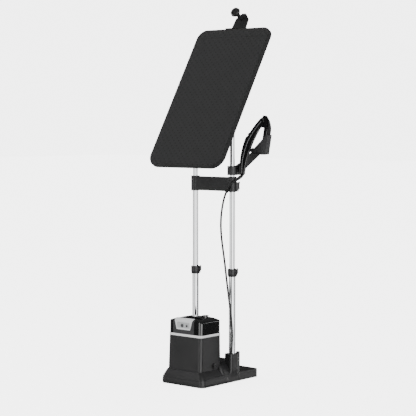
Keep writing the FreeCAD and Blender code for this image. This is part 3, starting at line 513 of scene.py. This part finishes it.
def edit(piece: bpy.types.Object, faces: Callable | None = None, edges: Callable | None = None) -> None:
    """Enters edit mode with the faces or edges that pass a test selected, or everything.

    Args:
        piece: the piece.
        faces: a test of a face.
        edges: a test of an edge.
    """
    select_only(piece)
    bpy.ops.object.mode_set(mode="EDIT")
    bpy.ops.mesh.select_mode(type="FACE" if faces else "EDGE" if edges else "VERT")
    bpy.ops.mesh.select_all(action="DESELECT" if faces or edges else "SELECT")
    if faces or edges:
        mesh = bmesh.from_edit_mesh(piece.data)
        for item in mesh.faces if faces else mesh.edges:
            item.select_set(bool((faces or edges)(item)))
        bmesh.update_edit_mesh(piece.data)


def leave_edit() -> None:
    """Returns to object mode."""
    bpy.ops.object.mode_set(mode="OBJECT")


def settle(piece: bpy.types.Object, name: str) -> bpy.types.Object:
    """Names a piece and moves its place into its mesh.

    Args:
        piece: the piece.
        name: its name.

    Returns:
        The piece.
    """
    select_only(piece)
    piece.name = name
    piece.data.name = name
    bpy.ops.object.transform_apply(location=True, rotation=True, scale=True)
    return piece


def add_box(name: str, low: Vector, high: Vector, bevel: float, segments: int = 3) -> bpy.types.Object:
    """A block between two corners with rounded edges.

    Args:
        name: its name.
        low: its lowest corner.
        high: its highest corner.
        bevel: the edges' radius.
        segments: the rounding's steps.

    Returns:
        The piece.
    """
    deselect()
    bpy.ops.mesh.primitive_cube_add(size=1.0, location=(Vector(low) + Vector(high)) / 2)
    piece = bpy.context.object
    piece.scale = Vector(high) - Vector(low)
    settle(piece, name)
    edit(piece)
    bpy.ops.mesh.bevel(offset=bevel, segments=segments, affect="EDGES")
    leave_edit()
    return piece


def apply_all(piece: bpy.types.Object) -> None:
    """Applies every modifier of a piece.

    Args:
        piece: the piece.
    """
    select_only(piece)
    for modifier in list(piece.modifiers):
        bpy.ops.object.modifier_apply(modifier=modifier.name)


def smooth(piece: bpy.types.Object, degrees: float = 35.0) -> None:
    """Shades a piece smooth, apart from its sharp edges.

    Args:
        piece: the piece.
        degrees: the angle past which an edge stays sharp.
    """
    select_only(piece)
    bpy.ops.object.shade_smooth_by_angle(angle=math.radians(degrees))


def dress(piece: bpy.types.Object, finish: str) -> None:
    """Gives a piece its material.

    Args:
        piece: the piece.
        finish: the finish's name.
    """
    piece.data.materials.clear()
    piece.data.materials.append(MATERIALS[finish])


def mount(piece: bpy.types.Object, body: str, finish: str,
          stands_for: tuple[str, ...] = ()) -> bpy.types.Object:
    """Dresses a piece, puts it on its body and hides what it stands for.

    Args:
        piece: the piece.
        body: the body that it rides on.
        finish: the finish's name.
        stands_for: the CAD nodes that it replaces.

    Returns:
        The piece.
    """
    dress(piece, finish)
    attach(piece, body)
    if stands_for:
        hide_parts(*stands_for)
    LOG.info("piece %s: %d faces", piece.name, len(piece.data.polygons))
    return piece


def copy_of(node: str, name: str) -> bpy.types.Object:
    """A merged copy of a CAD node's mesh.

    Args:
        node: the node's name.
        name: the copy's name.

    Returns:
        The copy.
    """
    piece = bpy.data.objects.new(name, frame["nodes"][node].data.copy())
    bpy.context.scene.collection.objects.link(piece)
    edit(piece)
    bpy.ops.mesh.remove_doubles(threshold=0.002 * MM)
    leave_edit()
    return piece


def softened(node: str, voxel: float, passes: int, finish: str, factor: float = 0.5) -> bpy.types.Object:
    """Stands for a CAD node with all its edges rounded over, as they leave a mould.

    Args:
        node: the node's name.
        voxel: the size of the new faces.
        passes: how often they are smoothed.
        finish: the finish's name.
        factor: how strongly each pass smooths.

    Returns:
        The piece.
    """
    piece = copy_of(node, node + "_skin")
    remesh = piece.modifiers.new("even", "REMESH")
    remesh.mode = "VOXEL"
    remesh.voxel_size = voxel
    relax = piece.modifiers.new("relax", "SMOOTH")
    relax.iterations = passes
    relax.factor = factor
    apply_all(piece)
    smooth(piece, 60.0)
    return mount(piece, body_of(node), finish, (node,))


# ---------------------------------------------------------------- cords
def cord_line(points: list[tuple[float, float, float]], name: str) -> bpy.types.Object:
    """A smooth curve that follows a route's points.

    Args:
        points: the route in metres.
        name: the curve's name.

    Returns:
        The curve object, with no thickness yet.
    """
    data = bpy.data.curves.new(name, "CURVE")
    data.dimensions = "3D"
    data.resolution_u = 14
    spline = data.splines.new("NURBS")
    spline.points.add(len(points) - 1)
    for control, place in zip(spline.points, points):
        control.co = (*place, 1.0)
    spline.order_u = 3
    spline.use_endpoint_u = True
    curve = bpy.data.objects.new(name, data)
    bpy.context.scene.collection.objects.link(curve)
    return curve


@dataclass
class SteamHose:
    """The steam hose in its two stretches, which meet in the clip on the crossbar."""

    diameter: float = 0.009
    lower: list = field(default_factory=lambda: [
        (0.1185, 0.004, 0.1275), (0.1195, 0.004, 0.160), (0.1225, 0.0035, 0.205), (0.121, 0.002, 0.255),
        (0.117, 0.0, 0.305), (0.1105, -0.003, 0.355), (0.105, -0.006, 0.405), (0.099, -0.008, 0.455),
        (0.092, -0.008, 0.505), (0.084, -0.008, 0.555), (0.075, -0.008, 0.605), (0.069, -0.009, 0.650),
        (0.0675, -0.010, 0.695), (0.070, -0.010, 0.740), (0.077, -0.009, 0.780), (0.0845, -0.008, 0.810),
        (0.091, -0.007, 0.828), (0.098, -0.0065, 0.841)])
    upper: list = field(default_factory=lambda: [
        (0.098, -0.0065, 0.841), (0.1036, -0.0061, 0.8514), (0.111, -0.0056, 0.862), (0.119, -0.0036, 0.8715),
        (0.1262, 0.0016, 0.8806), (0.131, 0.010, 0.887)])

    def stretch(self, name: str, points: list, node: str) -> None:
        """Args:
            name: the piece's name.
            points: its route.
            node: the CAD node that it stands for.
        """
        curve = cord_line(points, name + "_line")
        bare = bpy.data.meshes.new_from_object(curve)
        curve.data.bevel_depth = self.diameter / 2
        curve.data.bevel_resolution = 5
        curve.data.use_fill_caps = True
        piece = bpy.data.objects.new(name, bpy.data.meshes.new_from_object(curve))
        bpy.data.objects.remove(curve)
        bpy.context.scene.collection.objects.link(piece)
        edit(piece)
        bpy.ops.mesh.remove_doubles(threshold=0.001 * MM)
        bpy.ops.mesh.normals_make_consistent(inside=False)
        leave_edit()
        smooth(piece, 50.0)
        dress(piece, "hose_rubber")
        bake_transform(piece)
        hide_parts(node)
        LOG.info("hose stretch %s", name)

    def build(self) -> None:
        """Builds both stretches."""
        self.stretch("hose_lower", self.lower, "steam_hose_lower")
        self.stretch("hose_upper", self.upper, "steam_hose_upper")


# ---------------------------------------------------------------- board
@dataclass
class IroningBoard:
    """The board: a padded cloth cover over a hard core, held by its hem."""

    corner_low: float = 0.056
    corner_high: float = 0.048
    pillow: float = 0.006
    hem: float = 0.0022

    def upright(self, node: str) -> tuple[Vector, Vector]:
        """The box of a board node with the board upright.

        Args:
            node: the node's name.

        Returns:
            Its lowest and highest corner.
        """
        back = board_matrix().inverted()
        points = [back @ v.co for v in frame["nodes"][node].data.vertices]
        return (Vector(min(p[i] for p in points) for i in range(3)),
                Vector(max(p[i] for p in points) for i in range(3)))

    def slab(self, name: str, low: Vector, high: Vector, inset: float) -> bpy.types.Object:
        """An upright slab with the board's outline.

        Args:
            name: its name.
            low: the board's lowest corner.
            high: the board's highest corner.
            inset: how far it lies inside the outline.

        Returns:
            The slab.
        """
        shrink = Vector((inset, 0, inset))
        deselect()
        bpy.ops.mesh.primitive_cube_add(size=1.0, location=(low + high) / 2)
        piece = bpy.context.object
        piece.scale = high - low - 2 * shrink
        settle(piece, name)
        middle = (low.z + high.z) / 2
        for upper, radius in ((False, self.corner_low), (True, self.corner_high)):
            def at_corner(e: bmesh.types.BMEdge) -> bool:
                """True for the edges through the slab at its two upper or its two lower corners."""
                a, b = e.verts[0].co, e.verts[1].co
                through = abs(a.y - b.y) > 0.5 * (high.y - low.y)
                straight = abs(a.x - b.x) < 1e-6 and abs(a.z - b.z) < 1e-6
                at_end = min(abs(a.z - low.z - inset), abs(a.z - high.z + inset)) < 1e-5
                return through and straight and at_end and (a.z > middle) == upper
            edit(piece, edges=at_corner)
            bpy.ops.mesh.bevel(offset=radius - inset, segments=14, affect="EDGES")
            leave_edit()
        return piece

    def cover(self) -> None:
        """The padded cover, soft at its rim and faintly crowned."""
        low, high = self.upright("board_cover")
        piece = self.slab("board_pad", low, high, 0.0)
        edit(piece, faces=lambda f: f.normal.y < -0.9)
        for depth in (0.002, 0.004, 0.008, 0.016, 0.02):
            bpy.ops.mesh.inset(thickness=depth, depth=0.0)
        bpy.ops.mesh.select_all(action="SELECT")
        leave_edit()
        half_x, half_z = (high.x - low.x) / 2, (high.z - low.z) / 2
        mid_x, mid_z = (high.x + low.x) / 2, (high.z + low.z) / 2
        for vertex in piece.data.vertices:
            co = vertex.co
            if co.y < low.y + 1e-4:
                radius = self.corner_high if co.z > mid_z else self.corner_low
                past = Vector((abs(co.x - mid_x) - half_x + radius, abs(co.z - mid_z) - half_z + radius))
                round_the_corner = Vector((max(past.x, 0.0), max(past.y, 0.0))).length
                rim = radius - round_the_corner - min(max(past.x, past.y), 0.0)
                edge = max(0.0, 1.0 - rim / self.pillow)
                co.y += self.pillow * (1.0 - math.sqrt(max(0.0, 1.0 - edge * edge)))
        piece.data.update()
        smooth(piece, 50.0)
        piece.data.transform(board_matrix())
        mount(piece, Body.BOARD.value, "board_fabric", ("board_cover",))

    def hem_cord(self) -> None:
        """The elastic hem that holds the cover on, round the back's rim."""
        low, high = self.upright("board_cover")
        piece = self.slab("cover_hem", Vector((low.x, high.y - 2 * self.hem, low.z)),
                          Vector((high.x, high.y, high.z)), 0.003)
        edit(piece, faces=lambda f: abs(f.normal.y) > 0.9)
        bpy.ops.mesh.inset(thickness=0.008, depth=0.0)
        bpy.ops.mesh.bridge_edge_loops()
        leave_edit()
        edit(piece, edges=lambda e: (abs(e.verts[0].co.y - e.verts[1].co.y) < 1e-6
                                     and e.calc_face_angle(0.0) > 1.2))
        bpy.ops.mesh.bevel(offset=self.hem * 0.9, segments=4, affect="EDGES")
        leave_edit()
        smooth(piece, 60.0)
        piece.data.transform(board_matrix())
        mount(piece, Body.BOARD.value, "cord_elastic")

    def build(self) -> None:
        """Builds the board's pieces."""
        self.cover()
        self.hem_cord()


# ---------------------------------------------------------------- generator
@dataclass
class Generator:
    """The control panel's details and a band of painted shade at the casing's foot."""

    plate: float = 0.0006
    field_half: float = 0.036
    field_low: float = 0.007
    field_high: float = 0.036
    field_back: float = 0.0009
    ring: float = 0.0007
    ring_gap: float = 0.0016
    seam_z: float = 0.0655
    seam_height: float = 0.0022
    casing_corner: float = 0.0155
    front_run: float = 9.0
    front_rise: float = 216.0

    def front_turn(self, place: Vector) -> Matrix:
        """The lean of the generator's front about a place on it.

        Args:
            place: the point.

        Returns:
            The matrix.
        """
        lean = math.atan2(self.front_run, self.front_rise)
        return Matrix.Translation(place) @ Matrix.Rotation(-lean, 4, "X") @ Matrix.Translation(-place)

    def window(self) -> None:
        """The grey inner field of the panel."""
        low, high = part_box("panel_face")
        middle = (low.x + high.x) / 2
        z0, z1 = low.z + self.field_low, low.z + self.field_high
        front = low.y
        centre_z = (z1 + z0) / 2
        piece = add_box("panel_field", Vector((middle - self.field_half, front - self.plate, z0)),
                        Vector((middle + self.field_half, front + 0.001, z1)), 0.0004, 2)
        piece.data.transform(self.front_turn(Vector((middle, front, centre_z))))
        piece.data.transform(Matrix.Translation((0, self.field_back, 0)))
        mount(piece, Body.BASE.value, "panel_grey")

    def button_rings(self) -> None:
        """A raised ring round each button."""
        for node in ("power_button", "mode_button"):
            low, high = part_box(node)
            centre = (low + high) / 2
            radius = (high.x - low.x) / 2 + self.ring_gap
            deselect()
            bpy.ops.mesh.primitive_torus_add(location=(centre.x, low.y + 0.0022, centre.z),
                                             rotation=(math.pi / 2, 0, 0), major_radius=radius,
                                             minor_radius=self.ring, major_segments=40, minor_segments=8)
            piece = settle(bpy.context.object, node + "_ring")
            smooth(piece, 60.0)
            mount(piece, Body.BASE.value, "accent_grey")

    def foot_shade_band(self) -> None:
        """A dark band round the casing where it drops into the base: painted shade that stands for the shadow gap.
        """
        low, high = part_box("generator_casing")
        deselect()
        bpy.ops.mesh.primitive_cube_add(
            size=1.0, location=((low.x + high.x) / 2, (low.y + high.y) / 2, self.seam_z))
        piece = bpy.context.object
        piece.scale = (high.x - low.x + 0.0016, high.y - low.y + 0.0004, self.seam_height)
        settle(piece, "foot_shade_band")
        edit(piece, edges=lambda e: abs(e.verts[0].co.z - e.verts[1].co.z) > 0.001)
        bpy.ops.mesh.bevel(offset=self.casing_corner, segments=10, affect="EDGES")
        leave_edit()
        edit(piece, edges=lambda e: abs(e.verts[0].co.z - e.verts[1].co.z) < 1e-7)
        bpy.ops.mesh.bevel(offset=0.0005, segments=2, affect="EDGES")
        leave_edit()
        smooth(piece, 50.0)
        # The dark finish paints the shadow in the gap; the band is not a rubber part of its own.
        mount(piece, Body.BASE.value, "rubber")

    def build(self) -> None:
        """Builds the generator's pieces."""
        self.foot_shade_band()
        self.window()
        self.button_rings()


# ---------------------------------------------------------------- steam head
@dataclass
class SteamHead:
    """The steam head: its rounded shell, vents and handle bead, and its holder."""

    voxel: float = 0.0011
    pole: tuple[float, float, float] = (0.106, 0.022, 0.0)
    turn: float = 28.8
    lean: float = 8.0
    heel: tuple[float, float] = (0.151, 1.008)
    vent: float = 0.0017
    side: float = -0.0168
    line: tuple = ((0.0450, 0.920), (0.0448, 0.960), (0.0520, 1.000), (0.0640, 1.040), (0.0760, 1.068),
                   (0.0920, 1.096), (0.1120, 1.124), (0.1300, 1.145))

    def handle_highlight_bead(self) -> None:
        """A raised bead along the middle of the handle's side, coloured pale grey to paint the highlight that the
        handle's edge catches.
        """
        route = [tuple(self.place() @ Vector((out, self.side, up))) for out, up in self.line]
        bead = cord_line(route, "bead")
        bead.data.bevel_depth = 0.0012
        bead.data.bevel_resolution = 3
        bead.data.use_fill_caps = True
        piece = bpy.data.objects.new("handle_highlight_bead", bpy.data.meshes.new_from_object(bead))
        bpy.data.objects.remove(bead)
        bpy.context.scene.collection.objects.link(piece)
        edit(piece)
        bpy.ops.mesh.remove_doubles(threshold=0.001 * MM)
        bpy.ops.mesh.normals_make_consistent(inside=False)
        leave_edit()
        smooth(piece, 50.0)
        mount(piece, Body.HEAD.value, "bead_highlight_grey")

    def place(self) -> Matrix:
        """The turn of the head about the right pole."""
        return Matrix.Translation(self.pole) @ Matrix.Rotation(math.radians(self.turn), 4, "Z")

    def vents(self) -> None:
        """The steam vents of the soleplate, in an arch under its tip, as dark discs that paint the shade inside
        the holes.
        """
        deselect()
        bpy.ops.mesh.primitive_cylinder_add(vertices=16, radius=self.vent, depth=0.0006,
                                            rotation=(0, math.pi / 2, 0))
        first = settle(bpy.context.object, "sole_vents")
        edit(first, edges=lambda e: abs(e.verts[0].co.x - e.verts[1].co.x) < 1e-7)
        bpy.ops.mesh.bevel(offset=0.00012, segments=2, affect="EDGES")
        leave_edit()
        spots = [(side * 0.0135 * (1 + row), 1.112 - 0.012 * row * row / 2)
                 for row in range(3) for side in (-1, 1)]
        spots += [(side * 0.030, 1.075 - 0.014 * row) for row in range(4) for side in (-1, 1)]
        spots += [(0.0, 1.124)]
        pieces = []
        for across, up in spots:
            piece = first.copy()
            piece.data = first.data.copy()
            bpy.context.scene.collection.objects.link(piece)
            out = self.heel[0] + (up - self.heel[1]) * math.tan(math.radians(self.lean)) + 0.00005
            piece.data.transform(self.place() @ Matrix.Translation((out, across, up))
                                 @ Matrix.Rotation(math.radians(self.lean), 4, "Y"))
            pieces.append(piece)
        bpy.data.objects.remove(first)
        deselect()
        for piece in pieces:
            piece.select_set(True)
        bpy.context.view_layer.objects.active = pieces[0]
        bpy.ops.object.join()
        joined = bpy.context.object
        joined.name = "sole_vents"
        smooth(joined, 40.0)
        # The dark finish paints the shade inside the vent holes; the discs are not rubber parts.
        mount(joined, Body.HEAD.value, "rubber")

    def build(self) -> None:
        """Builds the head's pieces."""
        self.vents()
        self.handle_highlight_bead()
        softened("head_shell", self.voxel, 7, "head_gloss")
        softened("head_skirt", self.voxel, 4, "head_gloss")
        softened("head_holder", self.voxel, 5, "holder_plastic")


# ---------------------------------------------------------------- hanger
@dataclass
class Hanger:
    """The folding hanger hook with its rounded mould edges."""

    voxel: float = 0.0009

    def build(self) -> None:
        """Builds the hook's pieces."""
        softened("hanger_arm", self.voxel, 5, "clamp_plastic")
        softened("hanger_peg", self.voxel, 4, "clamp_plastic")


# ---------------------------------------------------------------- studio
@dataclass
class Studio:
    """The pale floor, the soft lights and the camera."""

    eye: tuple[float, float, float] = (3.9217, -4.6412, 1.1426)
    target: tuple[float, float, float] = (-0.0082, -0.0070, 0.7640)
    lens: float = 119.6
    backdrop: float = 4.8
    floor_glow: float = 4.2
    diffuse_light: float = 1.1
    strips: tuple = ((22.0, 26.0), (-56.0, 12.0), (120.0, 11.0), (222.0, 15.0))
    strip_fade: float = 7.0
    mirror_dark: float = 0.06
    mirror_bright: float = 3.4

    def floor(self) -> None:
        """The floor, far larger than the view."""
        deselect()
        bpy.ops.mesh.primitive_plane_add(size=60.0, location=(0, 0, 0))
        floor = settle(bpy.context.object, "floor")
        made = Shaded("studio_floor")
        made.marks((0.80, 0.80, 0.80), (0.82, 0.82, 0.82), 0.9, 1.0, 0.5)
        seen = made.tree.nodes.new("ShaderNodeLightPath")
        made.tree.links.new(seen.outputs["Is Camera Ray"], made.shader.inputs["Emission Color"])
        made.put(Emission_Strength=self.floor_glow, Specular_IOR_Level=0.0)
        floor.data.materials.append(made.material)
        floor.visible_glossy = False

    def light(self, name: str, place: tuple, size: float, power: float) -> None:
        """A square soft light that faces the object.

        Args:
            name: its name.
            place: where it stands.
            size: its side.
            power: its power in watts.
        """
        data = bpy.data.lights.new(name, "AREA")
        data.size = size
        data.energy = power
        lamp = bpy.data.objects.new(name, data)
        lamp.location = place
        aim = Vector((0, 0, 0.8)) - Vector(place)
        lamp.rotation_euler = aim.to_track_quat("-Z", "Y").to_euler()
        bpy.context.scene.collection.objects.link(lamp)

    def strip(self, tree: bpy.types.NodeTree, turn: float, reach: float) -> bpy.types.NodeSocket:
        """A tall bright strip of the surround, which only the reflections show.

        Args:
            tree: the world's tree.
            turn: its place in degrees, round from the camera's side.
            reach: half its width in degrees.

        Returns:
            Its brightness.
        """
        camera_side = Vector((self.eye[0], self.eye[1], 0.0)).normalized()
        middle = Matrix.Rotation(math.radians(turn), 4, "Z") @ camera_side
        towards = tree.nodes.new("ShaderNodeVectorMath")
        towards.operation = "DOT_PRODUCT"
        towards.inputs[1].default_value = middle
        tree.links.new(tree.nodes.new("ShaderNodeTexCoord").outputs["Generated"], towards.inputs[0])
        fade = tree.nodes.new("ShaderNodeMapRange")
        fade.interpolation_type = "SMOOTHSTEP"
        fade.inputs["From Min"].default_value = math.cos(math.radians(reach + self.strip_fade))
        fade.inputs["From Max"].default_value = math.cos(math.radians(reach))
        fade.inputs["To Min"].default_value = self.mirror_dark
        fade.inputs["To Max"].default_value = self.mirror_bright
        tree.links.new(towards.outputs["Value"], fade.inputs["Value"])
        return fade.outputs["Result"]

    def world(self) -> None:
        """A white backdrop, soft even light, and tall bright strips for the reflections."""
        world = bpy.data.worlds.new("surround")
        world.use_nodes = True
        tree = world.node_tree
        background = tree.nodes["Background"]
        seen = tree.nodes.new("ShaderNodeLightPath")
        strips = self.strip(tree, *self.strips[0])
        for turn, reach in self.strips[1:]:
            strips = math_node(tree, "MAXIMUM", strips, self.strip(tree, turn, reach))
        mirrored = spread_value(tree, seen.outputs["Is Glossy Ray"], self.diffuse_light, strips)
        strength = spread_value(tree, seen.outputs["Is Camera Ray"], mirrored, self.backdrop)
        tree.links.new(strength, background.inputs["Strength"])
        background.inputs["Color"].default_value = (1, 1, 1, 1)
        bpy.context.scene.world = world

    def camera(self) -> None:
        """The camera at the viewing angle."""
        data = bpy.data.cameras.new("camera")
        data.lens = self.lens
        data.sensor_width = 36.0
        data.clip_end = 200.0
        camera = bpy.data.objects.new("camera", data)
        camera.location = self.eye
        camera.rotation_euler = (Vector(self.target) - Vector(self.eye)).to_track_quat("-Z", "Y").to_euler()
        bpy.context.scene.collection.objects.link(camera)
        bpy.context.scene.camera = camera

    def build(self) -> None:
        """Builds the studio."""
        self.floor()
        self.world()
        self.camera()
        self.light("key", (-2.4, -3.0, 3.0), 1.6, 45.0)
        self.light("fill", (3.6, -1.2, 2.4), 1.2, 14.0)


def dress_nodes() -> None:
    """Gives every CAD node the procedural finish of its slot."""
    for node, piece in frame["nodes"].items():
        finish = slot_of(node)
        piece.data.materials.clear()
        piece.data.materials.append(MATERIALS[finish])


def main() -> None:
    """Builds every sub-assembly in order."""
    logging.basicConfig(level=logging.INFO, format="%(message)s")
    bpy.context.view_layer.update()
    dress_nodes()
    Studio().build()
    for part in (SteamHose(), IroningBoard(), Generator(), SteamHead(), Hanger()):
        part.build()
        LOG.info("built %s", type(part).__name__)


if __name__ == "__main__":
    main()
